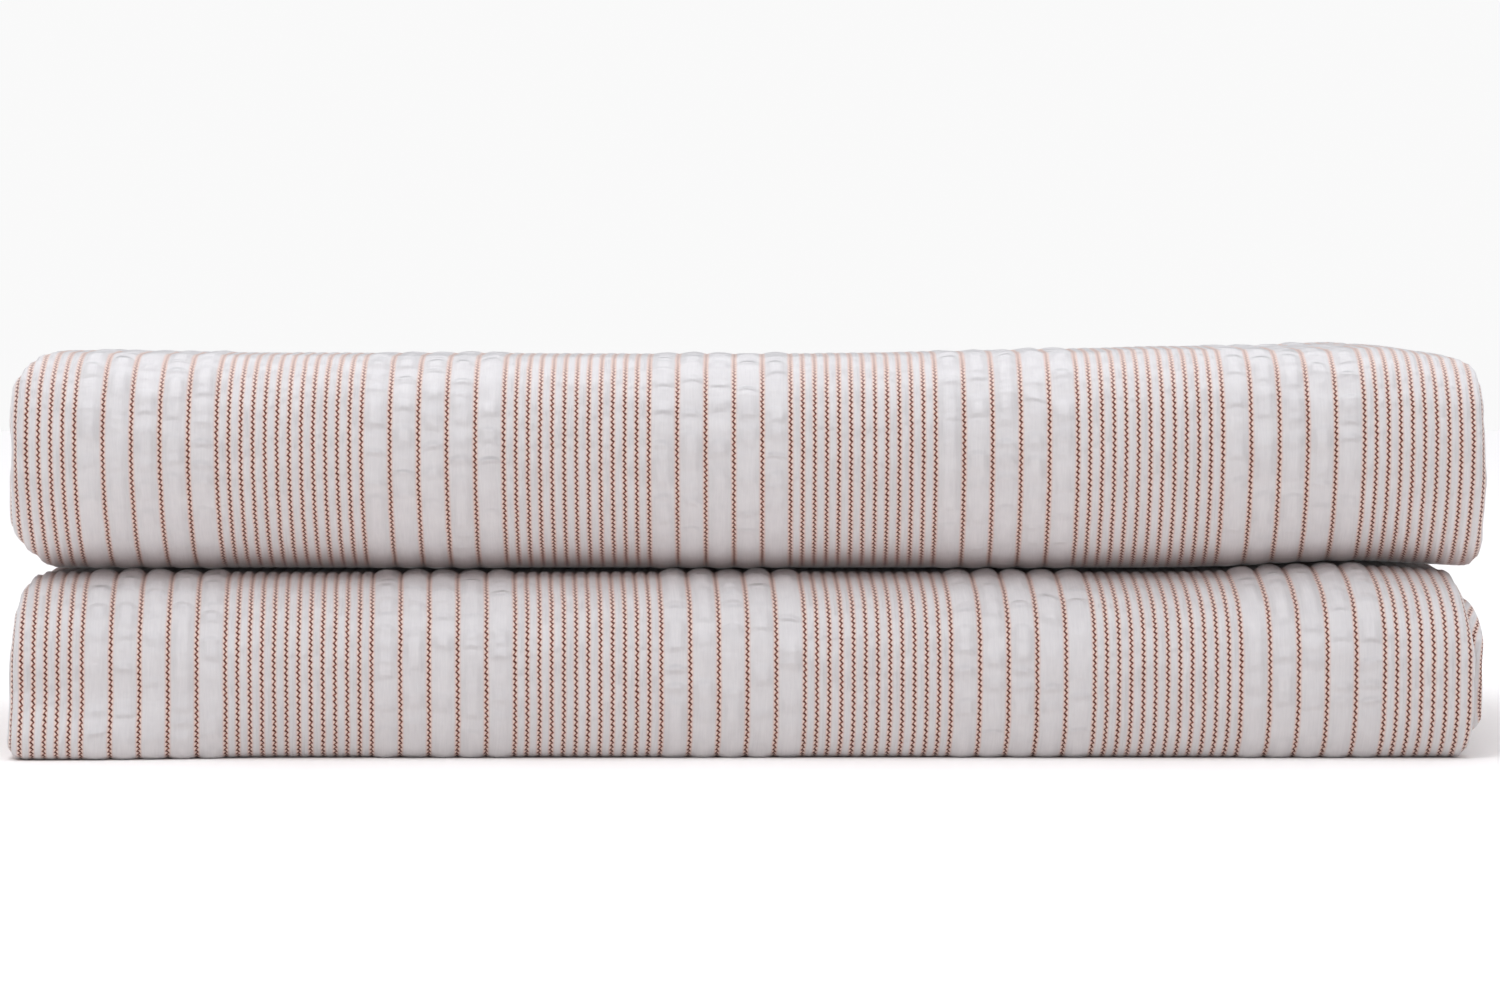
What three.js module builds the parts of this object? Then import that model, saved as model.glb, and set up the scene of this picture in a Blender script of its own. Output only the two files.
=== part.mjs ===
// A channelled cotton bedspread, folded away. It is quartered across its width into a strip of four
// layers. The strip's two ends are folded in to its middle, twice, and the whole is closed like a book.
// The spine of the book is at the back, and its two halves show as two fat noses at the front.
// Millimetres, +X to the right, +Y to the back, +Z up, the origin on the floor under the middle.
import * as THREE from "three";

const { clamp, lerp, smoothstep } = THREE.MathUtils;

// The folded pile
const HALF_WIDTH = 300;
const HALF_DEPTH = 150;
const CREVICE_HEIGHT = 74; // where the upper half of the book lies on the lower half
const PILE_HEIGHT = 165; // over the noses

// The cloth and the strip. Depths are counted from the strip's face, the side that shows on the pile,
// and shrink or grow a little with the half of the pile that they are in.
const CLOTH = 3;
const LAYERS = 4;
const LAYER_PITCH = 5;
const STRIP = LAYERS * LAYER_PITCH;
const SKIN = (LAYER_PITCH - CLOTH) / 2; // depth of the outermost surface
const LEAVES_A_HALF = 4;
const NOSE_PITCH = 0.9; // layers lie a little closer at a nose than in the flat

// The woven channels run from the front to the back, between pinstripes, in groups
const NARROW = { count: 12, width: 4.93, rise: 0.7 };
const WIDE = { count: 5, width: 11.6, rise: 1.4 };
const FIRST_WIDE_GROUP = -274.7; // its left pinstripe, on the upper nose
const GROUP_PITCH = NARROW.count * NARROW.width + WIDE.count * WIDE.width;

// The eight leaves of the strip, from the floor up: how far in from the pile's sides its left edge, its
// right edge and the two hemmed layers at its right lie, and how far the channels have slid to the right.
const LEAVES = [
  { left: 2, right: 9, hem: 5, slide: 4 },
  { left: 5, right: 8, hem: 6, slide: 3 },
  { left: 7, right: 10, hem: 8, slide: 3 },
  { left: 8, right: 9, hem: 7, slide: 3 },
  { left: 8, right: 7, hem: 9, slide: 0 },
  { left: 6, right: 6, hem: 8, slide: 0 },
  { left: 8, right: 9, hem: 7, slide: 0 },
  { left: 2, right: 2, hem: 5, slide: 0 },
];
const TOP_LEAF = LEAVES.length - 1;

// The seven folds in the strip's own order, each from one leaf to another. side is -1 at the front and
// 1 at the back. tip is the Y of its outermost point and share the height of that point between the two
// leaves. reach is its depth over its half height, and power its squareness, towards either leaf.
const FOLDS = [
  {
    name: "lower inner nose", from: 1, to: 2, side: -1, tip: -132, share: 0.5, steps: 4,
    reachFrom: 0.9, reachTo: 0.9, powerFrom: 2, powerTo: 2, left: 4, right: 6, hem: 4, slide: 3,
  },
  {
    name: "lower back turn", from: 2, to: 3, side: 1, tip: 124, share: 0.5, steps: 4,
    reachFrom: 0.8, reachTo: 0.8, powerFrom: 2, powerTo: 2, left: 5, right: 8, hem: 6, slide: 3,
  },
  {
    name: "lower nose", from: 3, to: 0, side: -1, tip: -149, share: 0.53, steps: 8, shows: true,
    reachFrom: 1.2, reachTo: 0.89, powerFrom: 2, powerTo: 1.75, left: 1, right: 8, hem: 2, slide: 5,
  },
  {
    name: "spine", from: 0, to: 7, side: 1, tip: 150, share: 0.47, steps: 8, shows: true,
    reachFrom: 0.46, reachTo: 0.5, powerFrom: 2.5, powerTo: 2.4, left: 3, right: 3, hem: 5, slide: 2,
  },
  {
    name: "upper nose", from: 7, to: 4, side: -1, tip: -140, share: 0.57, steps: 8, shows: true,
    reachFrom: 1, reachTo: 1, powerFrom: 2.2, powerTo: 1.7, left: 0, right: 0, hem: 3, slide: 0,
  },
  {
    name: "upper back turn", from: 4, to: 5, side: 1, tip: 124, share: 0.5, steps: 4,
    reachFrom: 0.8, reachTo: 0.8, powerFrom: 2, powerTo: 2, left: 6, right: 5, hem: 7, slide: 0,
  },
  {
    name: "upper inner nose", from: 5, to: 6, side: -1, tip: -117, share: 0.5, steps: 4,
    reachFrom: 0.9, reachTo: 0.9, powerFrom: 2, powerTo: 2, left: 5, right: 6, hem: 6, slide: 0,
  },
];
const FREE_ENDS = [{ leaf: 1, y: 102 }, { leaf: 6, y: 98 }];
const TOP_ROW = 0; // one more row of the channels, half way along the top leaf

// The side folds of the strip: how far each bulges out sideways at a flat leaf and at the tip of a fold
const OUTER_TURN = { flat: 9, tip: 6.5, power: 2.4, steps: 6 };
const INNER_TURN_IN = 5.5; // the small turn inside it lies this much further in
const EDGE_TURN = 4; // the right turn, between the two outermost layers
const HALF_GAP = SKIN; // from a layer's surface to the plane between it and the next
const INNER_FACE_SHARE = 1 - CLOTH / (STRIP / 2 - SKIN); // of the left turn, over its outer face

// How the pile has settled
const BACK_DROP = 7.5; // the top slopes down to the spine
const CORNER_DROP = 3; // but less at the right
const CREVICE_LIFT = { rise: 3, x: 244, reach: 55 };
const SQUARE_CORNER = { push: 8, from: -180, to: -290, height: 30 }; // the lower nose's left foot
const SWELLS = [
  { height: 38, push: 1.2, length: 390, phase: 0.6 },
  { height: 120, push: 1.5, length: 310, phase: 2.1 },
  { height: 120, push: 0.8, length: 145, phase: 4 },
];
const SWELL_HEIGHT = 45;

// Height of a depth of the strip in one leaf. Odd leaves lie face up.
function heightIn(leaf, depth) {
  const layersBelow = (leaf % LEAVES_A_HALF) * STRIP + (leaf % 2 ? STRIP - depth : depth);
  const spread = LEAVES_A_HALF * STRIP - SKIN;
  if (leaf < LEAVES_A_HALF) return ((layersBelow - SKIN) * CREVICE_HEIGHT) / spread;
  return CREVICE_HEIGHT + (layersBelow * (PILE_HEIGHT - CREVICE_HEIGHT)) / spread;
}

// Half the height that a fold spans at a depth of the strip
function halfSpan(fold, depth) {
  return Math.abs(heightIn(fold.to, depth) - heightIn(fold.from, depth)) / 2;
}

// Y and Z of a depth of the strip on a fold: turn goes from -1 at its first leaf to 1 at its last. Each
// half is a quarter of a superellipse, and the depths nest like the leaves of a bulb.
function onFold(fold, depth, turn) {
  const half = halfSpan(fold, depth);
  const widest = Math.max(halfSpan(fold, 0), halfSpan(fold, STRIP));
  const tip = fold.tip - fold.side * NOSE_PITCH * (widest - half);
  const [zFrom, zTo] = [heightIn(fold.from, depth), heightIn(fold.to, depth)];
  const zTip = lerp(Math.min(zFrom, zTo), Math.max(zFrom, zTo), fold.share);
  const [reach, power, zLeaf] =
    turn < 0 ? [fold.reachFrom, fold.powerFrom, zFrom] : [fold.reachTo, fold.powerTo, zTo];
  const angle = (Math.abs(turn) * Math.PI) / 2;
  const along = Math.max(Math.cos(angle), 0) ** (2 / power);
  const up = Math.sin(angle) ** (2 / power);
  return [tip - fold.side * reach * half * (1 - along), lerp(zTip, zLeaf, up)];
}

// A row is one place along the strip, with the edges that the strip has there.
function rowOnFold(fold, turn) {
  const leaf = turn < 0 ? fold.from : fold.to;
  const flatness = Math.sin((Math.abs(turn) * Math.PI) / 2) ** 4;
  const edge = (name) => lerp(fold[name], LEAVES[leaf][name], flatness);
  return {
    place: (depth) => onFold(fold, depth, turn),
    face: fold.shows ? (Math.abs(turn) < 1 || leaf === TOP_LEAF ? "channels" : "groups") : "plain",
    sideBulge: lerp(OUTER_TURN.tip, OUTER_TURN.flat, flatness),
    left: edge("left") - HALF_WIDTH,
    right: HALF_WIDTH - edge("right"),
    hem: HALF_WIDTH - edge("hem"),
    slide: edge("slide"),
  };
}

function rowOnLeaf(leaf, y, face) {
  const edges = LEAVES[leaf];
  return {
    place: (depth) => [y, heightIn(leaf, depth)],
    face,
    sideBulge: OUTER_TURN.flat,
    left: edges.left - HALF_WIDTH,
    right: HALF_WIDTH - edges.right,
    hem: HALF_WIDTH - edges.hem,
    slide: edges.slide,
  };
}

// Points of a side fold, from one depth to another, bulging to the left (-1) or the right (1) of x.
function sideTurn(x, bulge, fromDepth, toDepth, steps) {
  const middle = (fromDepth + toDepth) / 2;
  const points = [];
  for (let i = 0; i <= steps; i++) {
    const angle = (i / steps - 0.5) * Math.PI;
    const out = Math.max(Math.cos(angle), 0) ** (2 / OUTER_TURN.power);
    const swing = Math.sign(angle) * Math.abs(Math.sin(angle)) ** (2 / OUTER_TURN.power);
    points.push({ x: x + bulge * out, depth: middle + (swing * (toDepth - fromDepth)) / 2 });
  }
  return points;
}

// The outline of the folded cloth across the strip, but for the face that shows: it starts at the right
// end of that face, goes round every layer and both hems, and stops at the face's left end.
function layersOutline(row) {
  const plane = (layer) => layer * LAYER_PITCH; // the plane between two layers
  const left = row.left + row.sideBulge;
  const innerLeft = left + INNER_TURN_IN;
  const right = row.right - EDGE_TURN;
  const innerBulge = row.sideBulge * INNER_FACE_SHARE;
  const half = LAYER_PITCH - HALF_GAP;
  const hemEnd = (from, to) => [
    { x: row.hem, depth: from },
    { x: row.hem, depth: to },
  ];
  return [
    ...sideTurn(right, EDGE_TURN, plane(1) - half, plane(1) + half, 4),
    ...sideTurn(innerLeft, -HALF_GAP, plane(2) - HALF_GAP, plane(2) + HALF_GAP, 2),
    ...hemEnd(plane(2) + HALF_GAP, plane(3) - HALF_GAP),
    ...sideTurn(innerLeft, -EDGE_TURN, plane(2) + half, plane(2) - half, 4),
    ...sideTurn(right, HALF_GAP, plane(1) + HALF_GAP, plane(1) - HALF_GAP, 2),
    ...sideTurn(left, -innerBulge, plane(1) - HALF_GAP, plane(3) + HALF_GAP, 4),
    ...hemEnd(plane(3) + HALF_GAP, STRIP - SKIN),
    ...sideTurn(left, -row.sideBulge, STRIP - SKIN, SKIN, OUTER_TURN.steps),
  ];
}

// The face between its two ends. Where it shows, it has a low point at each pinstripe and a high one
// between two. Where it goes on under the pile or into the crevice, it has one point a group.
function facePoints(row) {
  if (row.face === "plain") return [];
  const left = row.left + row.sideBulge + NARROW.width / 4;
  const right = row.right - EDGE_TURN - NARROW.width / 4;
  const points = [];
  const add = (across, rise) => {
    const x = across + row.slide;
    if (x > left && x < right) points.push({ x, depth: SKIN - rise, across });
  };
  let across = FIRST_WIDE_GROUP - GROUP_PITCH;
  while (across < HALF_WIDTH) {
    for (const group of [WIDE, NARROW]) {
      for (let i = 0; i < group.count; i++) {
        if (i === 0 || row.face === "channels") add(across, 0);
        if (row.face === "channels") add(across + group.width / 2, group.rise);
        across += group.width;
      }
    }
  }
  return points;
}

// What the pile's own weight and the folding hands have done to the even shape
function settle(x, y, z) {
  const toBack = smoothstep(y, -HALF_DEPTH / 2, HALF_DEPTH * 0.7);
  const atRight = smoothstep(x, HALF_WIDTH / 3, HALF_WIDTH * 0.85);
  const drop = lerp(BACK_DROP, CORNER_DROP, atRight) * toBack * (z / PILE_HEIGHT);
  const lift =
    CREVICE_LIFT.rise *
    Math.exp(-(((x - CREVICE_LIFT.x) / CREVICE_LIFT.reach) ** 2)) *
    Math.sin((Math.PI * clamp(z, 0, PILE_HEIGHT)) / PILE_HEIGHT);
  const front = 1 - smoothstep(y, -HALF_DEPTH, 0);
  let push = 0;
  for (const swell of SWELLS) {
    const near = Math.exp(-(((z - swell.height) / SWELL_HEIGHT) ** 2));
    push += swell.push * near * Math.sin((2 * Math.PI * x) / swell.length + swell.phase);
  }
  const foot =
    SQUARE_CORNER.push *
    smoothstep(-x, -SQUARE_CORNER.from, -SQUARE_CORNER.to) *
    (1 - smoothstep(z, 0, SQUARE_CORNER.height)) *
    smoothstep(y, -HALF_DEPTH, -HALF_DEPTH * 0.8) *
    (1 - smoothstep(y, -HALF_DEPTH * 0.8, 0));
  return [x, y + push * front - foot, z - drop + lift];
}

function strip() {
  const rows = [rowOnLeaf(FREE_ENDS[0].leaf, FREE_ENDS[0].y, "plain")];
  for (const fold of FOLDS) {
    for (let i = 0; i <= fold.steps; i++) rows.push(rowOnFold(fold, (2 * i) / fold.steps - 1));
    if (fold.name === "spine") rows.push(rowOnLeaf(TOP_LEAF, TOP_ROW, "channels"));
  }
  rows.push(rowOnLeaf(FREE_ENDS[1].leaf, FREE_ENDS[1].y, "plain"));
  return rows;
}

function bedspreadGeometry() {
  const positions = [];
  const triangles = [];
  const addPoint = (row, point) => {
    const [y, z] = row.place(point.depth);
    positions.push(...settle(point.x, y, z));
    return { index: positions.length / 3 - 1, across: point.across };
  };
  // Each row's points: first the layers' outline, then the face that closes it.
  const rings = strip().map((row) => ({
    layers: layersOutline(row).map((point) => addPoint(row, point)),
    face: facePoints(row).map((point) => addPoint(row, point)),
  }));
  const quad = (a, b, c, d) => triangles.push(a.index, c.index, b.index, a.index, d.index, c.index);

  for (let i = 1; i < rings.length; i++) {
    const [one, two] = [rings[i - 1], rings[i]];
    for (let j = 1; j < one.layers.length; j++)
      quad(one.layers[j - 1], one.layers[j], two.layers[j], two.layers[j - 1]);
    stitchFaces(one, two, triangles);
  }
  const outline = (ring) => ring.layers.map((point) => point.index);
  capEnd(outline(rings[0]), layersOutline(strip()[0]), triangles, false);
  capEnd(outline(rings[rings.length - 1]), layersOutline(strip()[rings.length - 1]), triangles, true);

  const geometry = new THREE.BufferGeometry();
  geometry.setAttribute("position", new THREE.Float32BufferAttribute(positions, 3));
  geometry.setIndex(triangles);
  geometry.computeVertexNormals();
  return geometry;
}

// Joins the faces of two rows, which can hold different numbers of points, from left to right.
function stitchFaces(one, two, triangles) {
  const whole = ({ layers, face }) => [layers[layers.length - 1], ...face, layers[0]];
  const [a, b] = [whole(one), whole(two)];
  const next = (points, i) => (i + 2 < points.length ? points[i + 1].across : Infinity);
  let i = 0;
  let j = 0;
  while (i < a.length - 1 || j < b.length - 1) {
    const stepA = j === b.length - 1 || (i < a.length - 1 && next(a, i) <= next(b, j));
    if (stepA) {
      triangles.push(a[i].index, b[j].index, a[i + 1].index);
      i++;
    } else {
      triangles.push(a[i].index, b[j].index, b[j + 1].index);
      j++;
    }
  }
}

// Closes the strip at one of its free ends
function capEnd(indices, outline, triangles, last) {
  const flat = outline.map((point) => new THREE.Vector2(point.x, point.depth));
  for (const [a, b, c] of THREE.ShapeUtils.triangulateShape(flat, [])) {
    if (last) triangles.push(indices[a], indices[c], indices[b]);
    else triangles.push(indices[a], indices[b], indices[c]);
  }
}

const cotton = new THREE.MeshStandardMaterial({ color: "#e6dfdc", roughness: 0.95, metalness: 0 });
const bedspread = new THREE.Mesh(bedspreadGeometry(), cotton);
bedspread.name = "bedspread";

const part = new THREE.Group();
part.add(bedspread);

export default part;
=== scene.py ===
"""A channelled cotton bedspread, folded away, on a pale floor in soft studio light.

The bedspread is quartered across its width into a strip of four layers. The strip's two ends are folded
in to its middle, twice, and the whole is closed like a book. Its spine is at the back, and its two halves
show as two fat noses at the front. The tables of leaves and folds are in millimetres, and the sheet is
turned to metres as it becomes a mesh.
"""

import math

import bpy
import numpy as np
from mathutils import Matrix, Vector


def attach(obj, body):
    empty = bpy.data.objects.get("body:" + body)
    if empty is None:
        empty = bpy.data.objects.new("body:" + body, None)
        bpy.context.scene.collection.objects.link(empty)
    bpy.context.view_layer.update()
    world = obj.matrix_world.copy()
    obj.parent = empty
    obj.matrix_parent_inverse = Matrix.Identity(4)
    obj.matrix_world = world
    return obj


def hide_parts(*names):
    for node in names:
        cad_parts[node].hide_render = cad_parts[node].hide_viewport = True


bl_info = {
    "name": "Folded bedspread",
    "version": (1, 0, 0),
    "blender": (4, 5, 0),
    "location": "View3D > Sidebar > Bedspread",
    "description": "Folds a channelled, pinstriped cotton bedspread and lights it in a studio",
    "category": "Add Mesh",
}

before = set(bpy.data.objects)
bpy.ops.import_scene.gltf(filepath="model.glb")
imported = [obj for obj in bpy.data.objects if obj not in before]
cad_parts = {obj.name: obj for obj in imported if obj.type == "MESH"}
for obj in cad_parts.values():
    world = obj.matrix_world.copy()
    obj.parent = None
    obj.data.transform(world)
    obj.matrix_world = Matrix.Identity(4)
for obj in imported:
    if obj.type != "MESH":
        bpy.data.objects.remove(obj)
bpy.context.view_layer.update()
NODE = "bedspread"
MM = 0.001

# The cloth and the strip. Depths are counted from the strip's face, the side that shows on the pile.
CLOTH = 3
LAYER_PITCH = 5
LAYERS = 4
STRIP = LAYERS * LAYER_PITCH
SKIN = (LAYER_PITCH - CLOTH) / 2
LEAVES_A_HALF = 4
NOSE_PITCH = 0.9

# The eight leaves of the strip, from the floor up: how far in from the pile's sides its left edge, its
# right edge and the two hemmed layers at its right lie, and how far the channels have slid to the right.
LEAVES = [
    dict(left=-4, right=9, hem=1, slide=2.6),
    dict(left=3, right=8, hem=6, slide=2),
    dict(left=5, right=10, hem=8, slide=2),
    dict(left=4, right=10, hem=7, slide=2),
    dict(left=6, right=0, hem=3, slide=0),
    dict(left=6, right=6, hem=8, slide=0),
    dict(left=8, right=9, hem=7, slide=0),
    dict(left=6, right=5, hem=8, slide=0),
]
TOP_LEAF = len(LEAVES) - 1

# How the ends of the two noses run, from the first leaf over the tip to the last: how far in they lie
# at some turns of the fold
LOWER_ENDS = dict(
    turn=(-1, -0.8, -0.5, -0.25, 0, 0.3, 0.55, 0.7, 1),
    left=(2.5, 1.5, 0.3, -0.5, -0.8, -1.2, -1.5, -2, -2.5),
    right=(10, 8.5, 6.5, 5, 4, 4, 4.5, 5.5, 8),
    hem=(6, 2.5, 0, -1, -0.3, -0.6, -0.6, 0.6, 4))
UPPER_ENDS = dict(
    turn=(-1, -0.75, -0.5, -0.25, 0, 0.3, 0.52, 0.65, 0.78, 1),
    left=(6, 2, -1.6, -1.8, -1, -2.2, -3.2, -0.5, 3.5, 6),
    right=(5, 0.3, -0.8, -0.7, -1, -2, -2.2, -2.8, -2.5, 0),
    hem=(8, 4, 3, 2, 2, 2, 2, 2, 2, 3))

# Behind the edge of the crevice the channels are pressed flat: how far behind, and the puff that is left
PRESSED = [(14, 0.1), (10, 0.25), (7, 0.6), (4.5, 1.05), (2, 1.45)]

# The seven folds in the strip's own order, each from one leaf to another. side is -1 at the front and 1
# at the back. tip is the Y of its outermost point and share the height of that point between the two
# leaves. reach is its depth over its half height and power its squareness, towards either leaf. puff is
# how much of the channels' height shows, and pucker the depth of their puckers, at the first leaf, at
# the tip and at the last leaf. The painted highlight and the painted shade give how far the threads are
# paled and the cloth is browned, at the same three places.
FOLDS = [
    # Lower inner nose
    dict(leaves=(1, 2), side=-1, tip=-132, share=0.5, steps=10,
         reach=(0.9, 0.9), power=(2, 2), left=4, right=6, hem=4, slide=2),
    # Lower back turn
    dict(leaves=(2, 3), side=1, tip=124, share=0.5, steps=10,
         reach=(0.8, 0.8), power=(2, 2), left=5, right=8, hem=6, slide=2),
    # Lower nose
    dict(leaves=(3, 0), side=-1, tip=-149, share=0.53, steps=46,
         reach=(1.2, 0.45), power=(2, 2.3), left=-0.5, right=7, hem=1, slide=3.3, ends=LOWER_ENDS,
         puff=(1.6, 1, 0), pucker=(0.8, 0.9, 0.3), bleached=(0.6, 0, 0), tinged=(0.4, 0, 0.1),
         pressed=PRESSED),
    # Spine
    dict(leaves=(0, 7), side=1, tip=150, share=0.47, steps=32,
         reach=(0.46, 0.5), power=(2.5, 2.4), left=3, right=5, hem=7, slide=1.3,
         puff=(0, 1, 0.2), pucker=(0.2, 0.6, 0.75), bleached=(0, 0, 1), tinged=(0, 0, 0)),
    # Upper nose
    dict(leaves=(7, 4), side=-1, tip=-140, share=0.57, steps=50,
         reach=(1, 1), power=(2.2, 1.72), left=-1, right=1, hem=3, slide=0, ends=UPPER_ENDS,
         puff=(0.2, 1, 0), pucker=(0.7, 0.9, 0.1), bleached=(1, 0, 0), tinged=(0, 0, 1)),
    # Upper back turn
    dict(leaves=(4, 5), side=1, tip=124, share=0.5, steps=10,
         reach=(0.8, 0.8), power=(2, 2), left=6, right=5, hem=7, slide=0),
    # Upper inner nose
    dict(leaves=(5, 6), side=-1, tip=-117, share=0.5, steps=10,
         reach=(0.9, 0.9), power=(2, 2), left=5, right=6, hem=6, slide=0),
]
FREE_ENDS = [dict(leaf=1, y=102), dict(leaf=6, y=90)]
TOP_ROWS = 28
# The top leaf: a little puff, puckers, and a painted highlight that pales its threads
TOP = dict(puff=0.2, pucker=0.75, bleached=1)
HIDDEN_ROWS = 4
PUFF_HOLDS = 0.8
# How far from the tip of a fold the painted highlight on the threads and the painted shade on the cloth
# begin to change
HIGHLIGHT_STARTS = 0.25
PAINTED_SHADE_STARTS = 0.55

# The side folds of the strip: how far each bulges out sideways at a flat leaf and at the tip of a fold
OUTER_TURN = dict(flat=9, tip=6.5, power=2.4)
INNER_TURN_IN = 5.5
EDGE_TURN = 4
HALF_GAP = SKIN
INNER_FACE_SHARE = 1 - CLOTH / (STRIP / 2 - SKIN)
# The steps of the side folds that show, of the rounder ones inside and of the tight ones
LEFT_STEPS, RIGHT_STEPS, ROUND_STEPS, TIGHT_STEPS = 40, 30, 10, 4

# The channels that have slid are stretched a little on the left half, and so slid further on the right
STRETCH = dict(more=1.35, start=-330, end=60)

# How the pile has settled
BACK_DROP = 7.5
CORNER_DROP = 3
CREVICE_LIFT = dict(rise=3, x=248, reach=42)
TOP_LIE = dict(
    x=(-285, -235, -186, -100, 0, 87, 136, 175, 235, 262, 285, 296),
    rise=(-0.2, -1.2, -1.4, -1.6, -1.9, -0.6, 0.2, 1.2, 0.5, 1.6, -1.3, -2.8))
TOP_LIE_HEIGHT = 100
SQUARE_CORNER = dict(push=12, start=-180, end=-290, height=30)
# The leaves' edges stray from straight lines inside the pile, by up to this much over such a length
EDGE_STRAY = 1.6
STRAY_LENGTH = 40
# Where the long runs of the layers get points, so that they settle as the outer layer does
RUN_PLACES = (-150, 0, 60, 110, 160, 205, 240, 265)
SWELLS = [
    dict(height=38, push=1.2, length=390, phase=0.6),
    dict(height=120, push=1.5, length=310, phase=2.1),
    dict(height=120, push=0.8, length=145, phase=4),
]
SWELL_HEIGHT = 45

# A hem is the cloth turned over and stitched: how far each pair of points is from the hem's end, and how
# far each lies from the middle of the cloth, as a share of its thickness
HEM = [(12, 0.5), (11, 0.4), (10, 0.56), (5, 0.6), (1.4, 0.55), (0.4, 0.34), (0, 0.1)]

# Across the face: how far the columns keep from its two ends, over what length the relief fades there,
# and how far on to a hidden face the channels go on from a side fold, and fade
END_MARGIN = 0.4
LEFT_FADE, RIGHT_FADE = 10, 5
HIDDEN_START, HIDDEN_END = 2, 6

# Puckers: their height, their size across and along the channels, how far they bow, the size of the
# bows, and the share of the height on narrow channels
PUCKER = dict(height=1.1, across=11, along=7.5, bow=2, bow_across=0.7, bow_along=20, narrow=0.4)
NOISE_GRID = (64, 256)
PUCKER_SEED, STRAY_SEED, BOW_SEED = 5, 9, 11

# The zigzag thread of a pinstripe: from one turn to the next on the same side, how far it swings to
# either side, and half the thickness of its two strokes. All are measured on the cloth.
ZIGZAG = 2.4
SWAY = 0.5
BOLD_STROKE, BACK_STROKE = 0.7, 0.55
THREAD_CORE = 0.3
# Its pitch is uneven and it wanders sideways, by up to this much
UNEVEN, UNEVEN_SCALE = 1.8, (0.35, 0.08, 1)
WANDER, WANDER_SCALE = 0.5, 0.16
# Where the specks, the hollows that hold them and the pink yarns start and end, from the thread
SPECK_FADE, HOLLOW_FADE, FRINGE_FADE = (0.6, 0.85), (0.95, 0.7), (1.7, 0.6)
FRINGE_SHARE = 0.7
# The share of a thread that still shows under the full painted highlight, and the share of painted shade
# laid over the cloth
THREAD_UNDER_HIGHLIGHT = 0.2
PAINTED_SHADE_SHARE = 0.85

# The ground. A scale is the number of spots or yarns to a millimetre, and a height is in millimetres.
YARN_SCALE = (1.6, 0.12, 1)
CLOUD_SCALE = 0.12
SHADE_RANGE = (0.6, 1.4)
TUCK_SCALE, WRINKLE_SCALE = (0.04, 0.07, 1), (0.09, 0.2, 1)
TUCK_SLANT, TUCK_BOW, TUCK_WIDTH = 0.25, 0.8, 0.12
BOW_FADE, BETWEEN_FADE = (0.0, 5.8), (0.3, 4.5)
TUCK_HEIGHT, WRINKLE_HEIGHT, CLOUD_HEIGHT, YARN_HEIGHT, THREAD_HEIGHT = 1.15, 0.8, 0.5, 0.05, 0.1

FLOOR_SIZE = 6
SENSOR_WIDTH = 36
# In pixels of a picture 1500 wide: the focal length, and how far the camera looks below the horizon
FOCAL_PIXELS, PITCH_PIXELS = 5400, 300
BACKDROP_TOP = 0.1
ROOM_COLOUR = (0.94, 0.965, 1)
BACKDROP_COLOUR = (1, 1, 1)
LIGHT_COLOUR = (0.97, 0.98, 1)
LIGHTS = [
    dict(name="key", size=(0.6, 0.5), place=(-0.6, -1.3, 2.4), aim=(0, -0.1, 0.08)),
    dict(name="back_light", size=(1.6, 0.6), place=(0, 1.2, 2), aim=(0, 0, 0.15)),
]


class PileSizes(bpy.types.PropertyGroup):
    half_width: bpy.props.FloatProperty(
        name="Half width", description="From the middle to either side of the pile",
        default=0.3, min=0.2, max=0.4, subtype="DISTANCE", unit="LENGTH")
    half_depth: bpy.props.FloatProperty(
        name="Half depth", description="From the middle to the front of the pile",
        default=0.15, min=0.1, max=0.2, subtype="DISTANCE", unit="LENGTH")
    crevice_height: bpy.props.FloatProperty(
        name="Crevice height", description="Where the upper half of the book lies on the lower half",
        default=0.074, min=0.05, max=0.1, subtype="DISTANCE", unit="LENGTH")
    pile_height: bpy.props.FloatProperty(
        name="Pile height", description="Over the noses",
        default=0.165, min=0.12, max=0.2, subtype="DISTANCE", unit="LENGTH")


class ChannelSizes(bpy.types.PropertyGroup):
    narrow_count: bpy.props.IntProperty(
        name="Narrow channels", description="Narrow channels in a group", default=12, min=1, max=30)
    narrow_width: bpy.props.FloatProperty(
        name="Narrow width", description="Between the pinstripes of a narrow channel",
        default=0.00493, min=0.002, max=0.02, precision=5, subtype="DISTANCE", unit="LENGTH")
    narrow_rise: bpy.props.FloatProperty(
        name="Narrow rise", description="How far a narrow channel puffs up",
        default=0.0007, min=0, max=0.001, precision=5, subtype="DISTANCE", unit="LENGTH")
    wide_count: bpy.props.IntProperty(
        name="Wide channels", description="Wide channels in a group", default=5, min=1, max=30)
    wide_width: bpy.props.FloatProperty(
        name="Wide width", description="Between the pinstripes of a wide channel",
        default=0.0116, min=0.005, max=0.03, precision=5, subtype="DISTANCE", unit="LENGTH")
    wide_rise: bpy.props.FloatProperty(
        name="Wide rise", description="How far a wide channel puffs up",
        default=0.0014, min=0, max=0.002, precision=5, subtype="DISTANCE", unit="LENGTH")
    first_wide_group: bpy.props.FloatProperty(
        name="First wide group", description="X of its left pinstripe on the upper nose",
        default=-0.2747, min=-0.4, max=0.4, precision=5, subtype="DISTANCE", unit="LENGTH")


def linear(hexed):
    """Linear colour of an sRGB hex value."""
    parts = [int(hexed[i : i + 2], 16) / 255 for i in (1, 3, 5)]
    return [c / 12.92 if c <= 0.04045 else ((c + 0.055) / 1.055) ** 2.4 for c in parts]


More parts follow.
